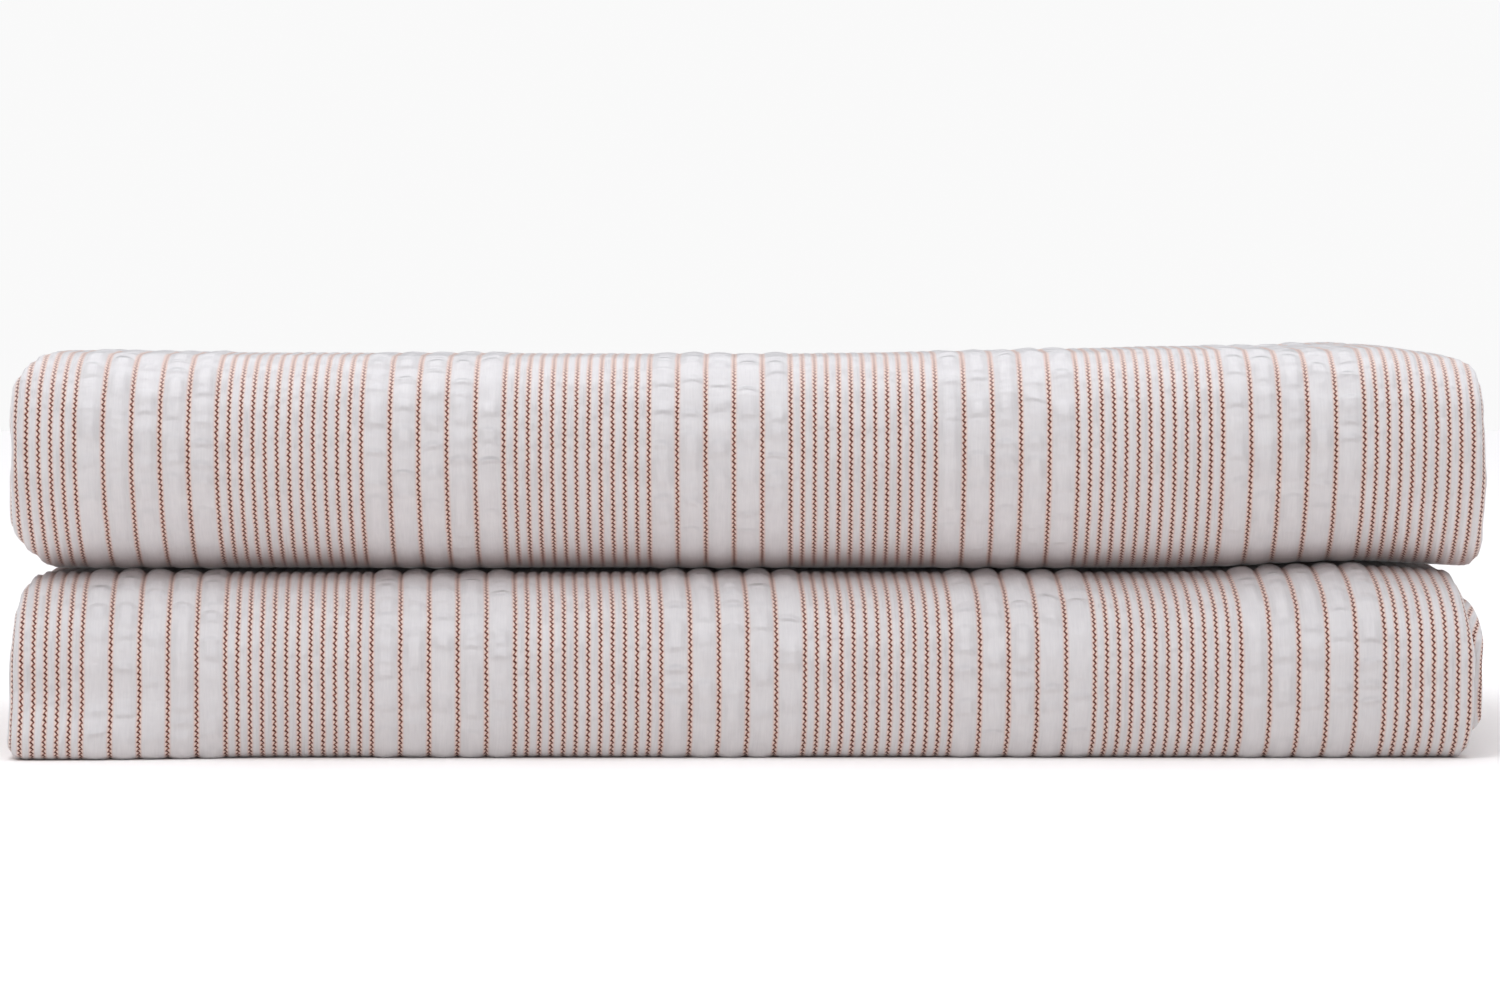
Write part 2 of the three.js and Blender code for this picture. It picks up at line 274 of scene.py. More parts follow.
class ClothColours(bpy.types.PropertyGroup):
    cotton: bpy.props.FloatVectorProperty(
        name="Cotton", description="The bleached ground of the cloth", size=3, subtype="COLOR",
        default=linear("#E4E0E0"), min=0, max=1)
    shaded_cotton: bpy.props.FloatVectorProperty(
        name="Shaded cotton", description="Its greyer yarns and places", size=3, subtype="COLOR",
        default=linear("#D9D5D6"), min=0, max=1)
    thread: bpy.props.FloatVectorProperty(
        name="Pinstripe thread", description="The bold stroke of a pinstripe's zigzag thread", size=3,
        subtype="COLOR", default=linear("#5B2E22"), min=0, max=1)
    back_thread: bpy.props.FloatVectorProperty(
        name="Thread going back", description="The lighter stroke of the zigzag thread", size=3,
        subtype="COLOR", default=linear("#8E5442"), min=0, max=1)
    fringe: bpy.props.FloatVectorProperty(
        name="Pinstripe edge", description="The pink yarns on either side of the thread", size=3,
        subtype="COLOR", default=linear("#E0BBAE"), min=0, max=1)
    speck: bpy.props.FloatVectorProperty(
        name="Specks", description="The pale yarn in the hollows of the zigzag", size=3,
        subtype="COLOR", default=linear("#F3DBCC"), min=0, max=1)
    # Painted shade: the brown laid over the white cloth deep in the crevice and inside the pile, where
    # there is only shade
    painted_shade_colour: bpy.props.FloatVectorProperty(
        name="Unbleached cotton", description="The browner cloth in the crevice and inside the pile",
        size=3,
        subtype="COLOR", default=linear("#743C2E"), min=0, max=1)


class Studio(bpy.types.PropertyGroup):
    floor: bpy.props.FloatVectorProperty(
        name="Floor", description="Colour of the plain floor", size=3, subtype="COLOR",
        default=linear("#FCF8F6"), min=0, max=1)
    key: bpy.props.FloatProperty(
        name="Key light", description="Power of the soft light above the camera, a little to its left",
        default=13, min=0, unit="POWER")
    back_light: bpy.props.FloatProperty(
        name="Back light", description="Power of the soft light above and behind the bedspread",
        default=4, min=0, unit="POWER")
    backdrop: bpy.props.FloatProperty(
        name="Backdrop", description="Brightness of the white backdrop, low all around", default=0.95,
        min=0)
    wall: bpy.props.FloatProperty(
        name="Walls", description="Brightness of the room above the backdrop", default=0.04, min=0)
    ceiling: bpy.props.FloatProperty(
        name="Ceiling", description="Brightness of the room overhead", default=2.6, min=0)
    camera_across: bpy.props.FloatProperty(
        name="Camera across", description="X of the camera", default=0.001, unit="LENGTH")
    camera_distance: bpy.props.FloatProperty(
        name="Camera distance", description="From the middle of the pile to the camera", default=2.34,
        min=0.5, unit="LENGTH")
    camera_height: bpy.props.FloatProperty(
        name="Camera height", description="Above the floor", default=0.228, min=0, unit="LENGTH")
    camera_pitch: bpy.props.FloatProperty(
        name="Camera pitch", description="How far down the camera looks",
        default=math.atan(PITCH_PIXELS / FOCAL_PIXELS),
        subtype="ANGLE", unit="ROTATION")
    lens: bpy.props.FloatProperty(
        name="Lens", description="Focal length in millimetres", default=129.6, min=20, max=400)


def smoothstep(x, low, high):
    t = np.clip((x - low) / (high - low), 0, 1)
    return t * t * (3 - 2 * t)


def mix(a, b, share):
    return a + (b - a) * share


def through(values, turn, start):
    """A value that a table gives at the first leaf, at the tip and at the last leaf of a fold. start is
    how far from the tip it begins to change."""
    end = values[0] if turn < 0 else values[2]
    return mix(values[1], end, smoothstep(abs(turn), start, 1))


def curve_through(places, values, at):
    """A smooth curve through a table's values that never swings past them."""
    at = min(max(at, places[0]), places[-1])
    after = int(np.clip(np.searchsorted(places, at), 1, len(places) - 1))
    slopes = np.diff(values) / np.diff(places)
    ends = [0 if a * b <= 0 else 2 * a * b / (a + b) for a, b in zip(slopes, slopes[1:])]
    ends = [slopes[0], *ends, slopes[-1]]
    width = places[after] - places[after - 1]
    t = (at - places[after - 1]) / width
    start, end = ends[after - 1] * width, ends[after] * width
    rise = values[after] - values[after - 1]
    return values[after - 1] + t * (start + t * (3 * rise - 2 * start - end + t * (start + end - 2 * rise)))


def soft_noise(x, y, seed):
    """Smooth noise from -1 to 1 with a spacing of 1 both ways, the same for the same seed."""
    grid = np.random.default_rng(seed).uniform(-1, 1, NOISE_GRID)
    i, j = np.floor(x).astype(int), np.floor(y).astype(int)
    s, t = smoothstep(x - i, 0, 1), smoothstep(y - j, 0, 1)

    def corner(a, b):
        return grid[(i + a) % NOISE_GRID[0], (j + b) % NOISE_GRID[1]]

    return mix(mix(corner(0, 0), corner(1, 0), s), mix(corner(0, 1), corner(1, 1), s), t)


class Channels:
    """The woven channels and pinstripes across the cloth, in millimetres."""

    def __init__(self, sizes):
        self.narrow = dict(count=sizes.narrow_count, width=sizes.narrow_width / MM,
                           rise=sizes.narrow_rise / MM, shares=(0, 1 / 3, 2 / 3), power=2.2)
        self.wide = dict(count=sizes.wide_count, width=sizes.wide_width / MM,
                         rise=sizes.wide_rise / MM, power=2.5,
                         shares=(0, 0.07, 0.2, 0.35, 0.5, 0.65, 0.8, 0.93))
        self.first = sizes.first_wide_group / MM
        self.wide_group = self.wide["count"] * self.wide["width"]
        self.pitch = self.wide_group + self.narrow["count"] * self.narrow["width"]

    def columns(self, low, high):
        """Places across the cloth for the mesh's columns: at each pinstripe and in between."""
        across = self.first + math.floor((low - self.first) / self.pitch) * self.pitch
        found = []
        while across < high:
            for kind in (self.wide, self.narrow):
                for i in range(kind["count"]):
                    found += [across + share * kind["width"] for share in kind["shares"]]
                    across += kind["width"]
        return np.array([a for a in found if low <= a <= high])

    def place(self, across):
        """For each place: whether its channel is wide, the channel's number, and the share across it."""
        group = np.floor((across - self.first) / self.pitch)
        rest = across - self.first - group * self.pitch
        is_wide = rest < self.wide_group
        rest = np.where(is_wide, rest, rest - self.wide_group)
        position = rest / np.where(is_wide, self.wide["width"], self.narrow["width"])
        number = np.floor(position) + np.where(is_wide, 0, self.wide["count"])
        number += group * (self.wide["count"] + self.narrow["count"])
        return is_wide, number, position - np.floor(position)

    def puff(self, across):
        """Height of the puffed channels, and a share that is 0 on a pinstripe and 1 in between."""
        is_wide, _, share = self.place(across)
        off_middle = np.abs(2 * share - 1)
        profile = 1 - off_middle ** np.where(is_wide, self.wide["power"], self.narrow["power"])
        return profile * np.where(is_wide, self.wide["rise"], self.narrow["rise"]), profile

    def puckers(self, across, along):
        """Puckers across the channels: small pillows of cloth between short creases."""
        is_wide, number, share = self.place(across)
        _, profile = self.puff(across)
        bow = soft_noise(number * PUCKER["bow_across"], along / PUCKER["bow_along"], BOW_SEED)
        bowed = along + PUCKER["bow"] * bow * (2 * share - 1)
        swell = soft_noise(across / PUCKER["across"], bowed / PUCKER["along"], PUCKER_SEED)
        return PUCKER["height"] * swell * profile * np.where(is_wide, 1, PUCKER["narrow"])


class Pile:
    """The leaves and folds of the pile, in millimetres."""

    def __init__(self, sizes):
        self.half_width = sizes.half_width / MM
        self.half_depth = sizes.half_depth / MM
        self.crevice = sizes.crevice_height / MM
        self.height = sizes.pile_height / MM

    def height_in(self, leaf, depth):
        """Height of a depth of the strip in one leaf. Odd leaves lie face up."""
        below = (leaf % LEAVES_A_HALF) * STRIP + (STRIP - depth if leaf % 2 else depth)
        spread = LEAVES_A_HALF * STRIP - SKIN
        if leaf < LEAVES_A_HALF:
            return (below - SKIN) * self.crevice / spread
        return self.crevice + below * (self.height - self.crevice) / spread

    def half_span(self, fold, depth):
        first, last = fold["leaves"]
        return np.abs(self.height_in(last, depth) - self.height_in(first, depth)) / 2

    def on_fold(self, fold, depth, turn):
        """Y and Z of depths of the strip on a fold. Each half is a quarter of a superellipse."""
        half = self.half_span(fold, depth)
        widest = max(self.half_span(fold, 0), self.half_span(fold, STRIP))
        tip = fold["tip"] - fold["side"] * NOSE_PITCH * (widest - half)
        heights = [self.height_in(leaf, depth) for leaf in fold["leaves"]]
        z_tip = mix(np.minimum(*heights), np.maximum(*heights), fold["share"])
        half_fold = 0 if turn < 0 else 1
        reach, power = fold["reach"][half_fold], fold["power"][half_fold]
        angle = abs(turn) * math.pi / 2
        along = max(math.cos(angle), 0) ** (2 / power)
        up = math.sin(angle) ** (2 / power)
        return tip - fold["side"] * reach * half * (1 - along), mix(z_tip, heights[half_fold], up)

    def row_on_fold(self, fold, turn):
        """A row is one place along the strip, with the edges that the strip has there."""
        leaf = LEAVES[fold["leaves"][0 if turn < 0 else 1]]
        flatness = math.sin(abs(turn) * math.pi / 2) ** 4
        edge = {name: mix(fold[name], leaf[name], flatness) for name in ("left", "right", "hem", "slide")}
        if "ends" in fold:
            edge |= {name: curve_through(fold["ends"]["turn"], fold["ends"][name], turn)
                     for name in ("left", "right", "hem")}
        return dict(
            at=lambda depth: self.on_fold(fold, depth, turn),
            shows="puff" in fold,
            puff=through(fold["puff"], turn, PUFF_HOLDS) if "puff" in fold else 0,
            pucker=through(fold["pucker"], turn, 0) if "puff" in fold else 0,
            # Painted highlight that pales the threads, and painted shade that browns the cloth towards the
            # crevice
            bleached=through(fold["bleached"], turn, HIGHLIGHT_STARTS) if "bleached" in fold else 0,
            tinged=through(fold["tinged"], turn, PAINTED_SHADE_STARTS) if "tinged" in fold else 0,
            bulge=mix(OUTER_TURN["tip"], OUTER_TURN["flat"], flatness), **edge)

    def row_on_leaf(self, number, y, puff=0, pucker=0, bleached=0):
        """A row on a flat leaf. Only a leaf with puffed channels shows. All the others are browned by
        painted shade, out to their ends at the pile's sides."""
        inside = 1 - smoothstep(abs(y), self.half_depth / 3, self.half_depth * 0.6)
        stray = {}
        for i, name in enumerate(("left", "right", "hem")):
            noise = soft_noise(np.array(number + i / 3), np.array(y / STRAY_LENGTH), STRAY_SEED)
            stray[name] = EDGE_STRAY * inside * float(noise)
        edge = {name: value + stray.get(name, 0) for name, value in LEAVES[number].items()}
        return dict(
            at=lambda depth: (y + 0 * depth, self.height_in(number, depth)),
            shows=puff > 0, puff=puff, pucker=pucker, bleached=bleached, tinged=1 - bleached,
            bulge=OUTER_TURN["flat"], **edge)

    def rows(self):
        """All rows of the strip, from one free end to the other."""
        start = FREE_ENDS[0]
        found = [self.row_on_leaf(start["leaf"], start["y"])]
        y = start["y"]
        for fold in FOLDS:
            first, last = fold["leaves"]
            fold_start = self.on_fold(fold, SKIN, -1)[0]
            top = first == TOP_LEAF
            count = TOP_ROWS if top else HIDDEN_ROWS
            pressed = fold.get("pressed", [])
            leaf_end = fold_start - fold["side"] * (pressed[0][0] if pressed else 0)
            for i in range(1, count + 1):
                between = mix(y, leaf_end, i / (count + 1))
                found.append(self.row_on_leaf(first, between, **(TOP if top else {})))
            for behind, puff in pressed:
                found.append(self.row_on_leaf(first, fold_start - fold["side"] * behind, puff))
            found += [self.row_on_fold(fold, 2 * i / fold["steps"] - 1) for i in range(fold["steps"] + 1)]
            y = self.on_fold(fold, SKIN, 1)[0]
        end = FREE_ENDS[1]
        for i in range(1, HIDDEN_ROWS + 1):
            found.append(self.row_on_leaf(end["leaf"], mix(y, end["y"], i / (HIDDEN_ROWS + 1))))
        found.append(self.row_on_leaf(end["leaf"], end["y"]))
        return found

    def settle(self, points):
        """What the pile's own weight and the folding hands have done to the even shape."""
        x, y, z = points.T
        to_back = smoothstep(y, -self.half_depth / 2, self.half_depth * 0.7)
        at_right = smoothstep(x, self.half_width / 3, self.half_width * 0.85)
        drop = mix(BACK_DROP, CORNER_DROP, at_right) * to_back * (z / self.height)
        lift = CREVICE_LIFT["rise"] * np.exp(-(((x - CREVICE_LIFT["x"]) / CREVICE_LIFT["reach"]) ** 2))
        lift = lift * np.sin(math.pi * np.clip(z, 0, self.height) / self.height)
        front = 1 - smoothstep(y, -self.half_depth, 0)
        push = 0
        for swell in SWELLS:
            near = np.exp(-(((z - swell["height"]) / SWELL_HEIGHT) ** 2))
            push = push + swell["push"] * near * np.sin(2 * math.pi * x / swell["length"] + swell["phase"])
        foot = SQUARE_CORNER["push"] * smoothstep(-x, -SQUARE_CORNER["start"], -SQUARE_CORNER["end"])
        foot = foot * (1 - smoothstep(z, 0, SQUARE_CORNER["height"]))
        foot = foot * smoothstep(-y, self.half_depth / 2, self.half_depth * 0.87)
        rise = np.array([curve_through(TOP_LIE["x"], TOP_LIE["rise"], at) for at in x])
        lift = lift + rise * smoothstep(z, TOP_LIE_HEIGHT, self.height)
        return np.stack([x, y + push * front - foot, np.maximum(z - drop + lift, 0)], axis=1)


def side_turn(bulge, from_depth, to_depth, steps):
    """How far out each point of a side fold is, and its depth."""
    angle = np.linspace(-math.pi / 2, math.pi / 2, steps + 1)
    share = 2 / OUTER_TURN["power"]
    out = bulge * np.maximum(np.cos(angle), 0) ** share
    swing = np.sign(angle) * np.abs(np.sin(angle)) ** share
    return out, (from_depth + to_depth) / 2 + swing * (to_depth - from_depth) / 2


def outer_path(row, half_width):
    """The strip's outer surface across it: places across the cloth, X, depth and which way is out. It
    goes from under the left side fold over the face to under the right one."""
    left = row["left"] - half_width + row["bulge"]
    right = half_width - row["right"] - EDGE_TURN
    left_out, left_depth = side_turn(row["bulge"], STRIP - SKIN, SKIN, LEFT_STEPS)
    right_out, right_depth = side_turn(EDGE_TURN, SKIN, 2 * LAYER_PITCH - SKIN, RIGHT_STEPS)
    x = np.concatenate([left - left_out, right + right_out])
    depth = np.concatenate([left_depth, right_depth])
    arc = np.concatenate([[0], np.cumsum(np.hypot(np.diff(x), np.diff(depth)))])
    slid = row["slide"] * (1 + STRETCH["more"] * smoothstep(x, STRETCH["start"], STRETCH["end"]))
    across = arc - arc[len(left_out) - 1] + left - slid
    slope = np.gradient(np.stack([x, depth]), across, axis=1)
    slope = slope / np.linalg.norm(slope, axis=0)
    return across, x, depth, slope[1], -slope[0]


def with_run_places(points):
    """An outline of X and depth, with points at the run places where it runs from side to side."""
    found = points[:1]
    for (x, depth), (next_x, next_depth) in zip(points, points[1:]):
        if abs(next_x - x) > RUN_PLACES[-1] - RUN_PLACES[0]:
            for place in RUN_PLACES if next_x > x else reversed(RUN_PLACES):
                found.append((place, mix(depth, next_depth, (place - x) / (next_x - x))))
        found.append((next_x, next_depth))
    return found


class Sheet:
    """Gathers the points and faces of the cloth."""

    def __init__(self, pile, channels):
        self.pile, self.channels = pile, channels
        self.points, self.cloth_at = [], []
        # Per point: how puckered the cloth is, and the painted highlight on the threads and the painted
        # shade on the cloth
        self.pucker_and_painted_light = {"pucker": [], "bleached": [], "tinged": []}
        self.faces = []
        self.count = 0

    def add(self, row, x, depth, across, along):
        """Adds points of a row and returns their numbers."""
        y, z = row["at"](depth)
        self.points.append(self.pile.settle(np.stack([x, y + 0 * x, z + 0 * x], axis=1)))
        self.cloth_at.append(np.stack([across, np.full(len(x), along)], axis=1))
        for name, values in self.pucker_and_painted_light.items():
            values.append(np.full(len(x), float(row[name])))
        self.count += len(x)
        return list(range(self.count - len(x), self.count))

    def outer_points(self, row, along):
        """The row's outer surface, with its channels and puckers."""
        path_across, path_x, path_depth, out_x, out_depth = outer_path(row, self.pile.half_width)
        low, high = path_across[0], path_across[-1]
        across = self.channels.columns(low + END_MARGIN, high - END_MARGIN)
        turn_left = row["left"] - self.pile.half_width + row["bulge"] - row["slide"]
        turn_right = self.pile.half_width - row["right"] - EDGE_TURN - row["slide"] * (1 + STRETCH["more"])
        if not row["shows"]:
            runs = [across[np.argmin(np.abs(across - place))] for place in RUN_PLACES]
            at_turns = (across < turn_left + HIDDEN_START) | (across > turn_right - HIDDEN_START)
            across = across[at_turns | np.isin(across, runs)]
        across = np.concatenate([[low], across, [high]])
        x = np.interp(across, path_across, path_x)
        depth = np.interp(across, path_across, path_depth)
        puff, _ = self.channels.puff(across)
        rise = puff * row["puff"] + self.channels.puckers(across, along) * row["pucker"]
        if not row["shows"]:
            beside = np.maximum(turn_left - across, across - turn_right)
            rise = puff * smoothstep(beside, HIDDEN_START, HIDDEN_END)
        rise = rise * smoothstep(across, low, low + LEFT_FADE)
        rise = rise * (1 - smoothstep(across, high - RIGHT_FADE, high))
        x = x + rise * np.interp(across, path_across, out_x)
        depth = depth + rise * np.interp(across, path_across, out_depth)
        return across, self.add(row, x, depth, across, along)

    def layer_points(self, row, along, low, high):
        """The rest of the folded cloth's outline, from under the right side fold round every layer and
        both hems to under the left one. The first list ends at the hem, where the cloth turns back."""
        half_width = self.pile.half_width
        left = row["left"] - half_width + row["bulge"]
        inner_left = left + INNER_TURN_IN
        right = half_width - row["right"] - EDGE_TURN
        hem = half_width - row["hem"]
        half = LAYER_PITCH - HALF_GAP
        one, two, three = (n * LAYER_PITCH for n in (1, 2, 3))

        def turn(x, side, bulge, from_depth, to_depth, steps):
            out, depth = side_turn(bulge, from_depth, to_depth, steps)
            return list(zip(x + side * out, depth))

        def hem_end(middle):
            upper = [(hem - inset, middle - share * CLOTH) for inset, share in HEM]
            return upper, [(x, 2 * middle - depth) for x, depth in reversed(upper)]

        inner_hem, outer_hem = hem_end(two + LAYER_PITCH / 2), hem_end(three + LAYER_PITCH / 2)
        going = [
            (right, two - SKIN),
            *turn(inner_left, -1, HALF_GAP, two - HALF_GAP, two + HALF_GAP, TIGHT_STEPS),
            *inner_hem[0],
        ]
        coming = [
            *inner_hem[1],
            *turn(inner_left, -1, EDGE_TURN, two + half, two - half, ROUND_STEPS),
            *turn(right, 1, HALF_GAP, one + HALF_GAP, one - HALF_GAP, TIGHT_STEPS),
            *turn(left, -1, row["bulge"] * INNER_FACE_SHARE, one - HALF_GAP, three + HALF_GAP,
                  ROUND_STEPS),
            *outer_hem[0],
            *outer_hem[1],
            (left, STRIP - SKIN),
        ]
        going, coming = with_run_places(going)[1:], with_run_places(coming)[:-1]
        found = []
        for points, start, step in ((going, high, 1), (coming, low, -1)):
            x, depth = np.array(points).T
            arc = np.concatenate([[0], np.cumsum(np.hypot(np.diff(x), np.diff(depth)))])
            across = start + step * (arc if step > 0 else arc[-1] - arc)
            found += self.add(row, x, depth, across, along)
        return found

    def stitch(self, one, two):
        """Joins the outer surfaces of two rows, which can hold different places across the cloth."""
        (a_across, a), (b_across, b) = one, two
        a_end, b_end = len(a) - 1, len(b) - 1
        i = j = 0
        while i < a_end or j < b_end:
            next_a = a_across[i + 1] if i + 1 < a_end else math.inf
            next_b = b_across[j + 1] if j + 1 < b_end else math.inf
            step_a = i < a_end and (j == b_end or next_a <= next_b)
            step_b = j < b_end and (i == a_end or next_b <= next_a)
            if step_a and step_b:
                self.faces.append((a[i], b[j], b[j + 1], a[i + 1]))
            elif step_a:
                self.faces.append((a[i], b[j], a[i + 1]))
            else:
                self.faces.append((a[i], b[j], b[j + 1]))
            i, j = i + step_a, j + step_b

    def fold(self):
        """Makes all points and faces, row by row, and returns the strip's length along its middle."""
        rows = self.pile.rows()
        along = length = 0
        before = None
        rings = []
        for row in rows:
            here = np.transpose(row["at"](np.array([SKIN, STRIP / 2])))
            if before is not None:
                steps = np.linalg.norm(here - before, axis=1)
                along, length = along + steps[0], length + steps[1]
            before = here
            across, outer = self.outer_points(row, along)
            layers = self.layer_points(row, along, across[0], across[-1])
            rings.append((across, outer, [outer[-1], *layers, outer[0]]))
        for (a_across, a, a_layers), (b_across, b, b_layers) in zip(rings, rings[1:]):
            self.stitch((a_across, a), (b_across, b))
            for k in range(1, len(a_layers)):
                self.faces.append((a_layers[k - 1], b_layers[k - 1], b_layers[k], a_layers[k]))
        for ring, last in ((rings[0], False), (rings[-1], True)):
            outline = [*ring[1], *ring[2][1:-1]]
            self.faces.append(outline if last else outline[::-1])
        return length

    def mesh(self, name):
        points = np.concatenate(self.points) * MM
        cloth_at = np.concatenate(self.cloth_at) * MM
        made = bpy.data.meshes.new(name)
        made.from_pydata(points.tolist(), [], self.faces)
        corners = np.zeros(len(made.loops), np.int32)
        made.loops.foreach_get("vertex_index", corners)
        made.uv_layers.new(name="cloth").data.foreach_set("uv", cloth_at[corners].ravel())
        # The puckers, and the painted highlight and painted shade, go to the mesh as point attributes
        for name, values in self.pucker_and_painted_light.items():
            made.attributes.new(name, "FLOAT", "POINT").data.foreach_set("value", np.concatenate(values))
        made.shade_smooth()
        return made


def add_node(tree, kind, inputs=None, **settings):
    """Adds a node with its settings. inputs maps sockets to values, to sockets or to nodes, of which the
    first output is taken."""
    made = tree.nodes.new(kind)
    for name, value in settings.items():
        setattr(made, name, value)
    for socket, value in (inputs or {}).items():
        if isinstance(value, bpy.types.Node):
            value = value.outputs[0]
        if isinstance(value, bpy.types.NodeSocket):
            tree.links.new(value, made.inputs[socket])
        else:
            made.inputs[socket].default_value = value
    return made


MATH = "ShaderNodeMath"
NOISE = "ShaderNodeTexNoise"
RANGE = "ShaderNodeMapRange"


def blend(tree, share, under, over):
    """One colour over another. A colour is a socket or three numbers."""
    under, over = (c if isinstance(c, bpy.types.NodeSocket) else (*c, 1) for c in (under, over))
    return add_node(tree, "ShaderNodeMix", {0: share, 6: under, 7: over}, data_type="RGBA").outputs[2]


def fade(tree, value, start, end):
    """0 where the value is at its start and 1 where it is at its end."""
    return add_node(tree, RANGE, {0: value, 1: start, 2: end}, interpolation_type="SMOOTHSTEP")


def from_pinstripe(tree, channels, in_mm, across):
    """How far a place is to the right of the pinstripe nearest to it, and where its channel begins, both
    in millimetres."""
    wander = add_node(tree, NOISE, {"Vector": in_mm, "Scale": WANDER_SCALE, "Detail": 1.0})
    wandered = add_node(tree, MATH, {0: wander, 1: WANDER, 2: across}, operation="MULTIPLY_ADD")
    started = add_node(tree, MATH, {0: wandered, 1: channels.first + WANDER / 2}, operation="SUBTRACT")
    group = add_node(tree, MATH, {0: started, 1: channels.pitch}, operation="FLOORED_MODULO")
    past = add_node(tree, MATH, {0: group, 1: channels.wide_group}, operation="SUBTRACT")
    wide, narrow = channels.wide["width"] / 2, channels.narrow["width"] / 2
    off_wide = add_node(tree, MATH, {0: group, 1: wide, 2: -wide}, operation="WRAP")
    off_narrow = add_node(tree, MATH, {0: past, 1: narrow, 2: -narrow}, operation="WRAP")
    is_narrow = add_node(tree, MATH, {0: past, 1: 0.0}, operation="GREATER_THAN")
    in_wide = add_node(tree, MATH, {0: group, 1: 2 * wide}, operation="FLOORED_MODULO")
    in_narrow = add_node(tree, MATH, {0: past, 1: 2 * narrow}, operation="FLOORED_MODULO")
    within = add_node(tree, "ShaderNodeMix", {0: is_narrow, 2: in_wide, 3: in_narrow})
    begins = add_node(tree, MATH, {0: started, 1: within}, operation="SUBTRACT")
    return add_node(tree, "ShaderNodeMix", {0: is_narrow, 2: off_wide, 3: off_narrow}), begins


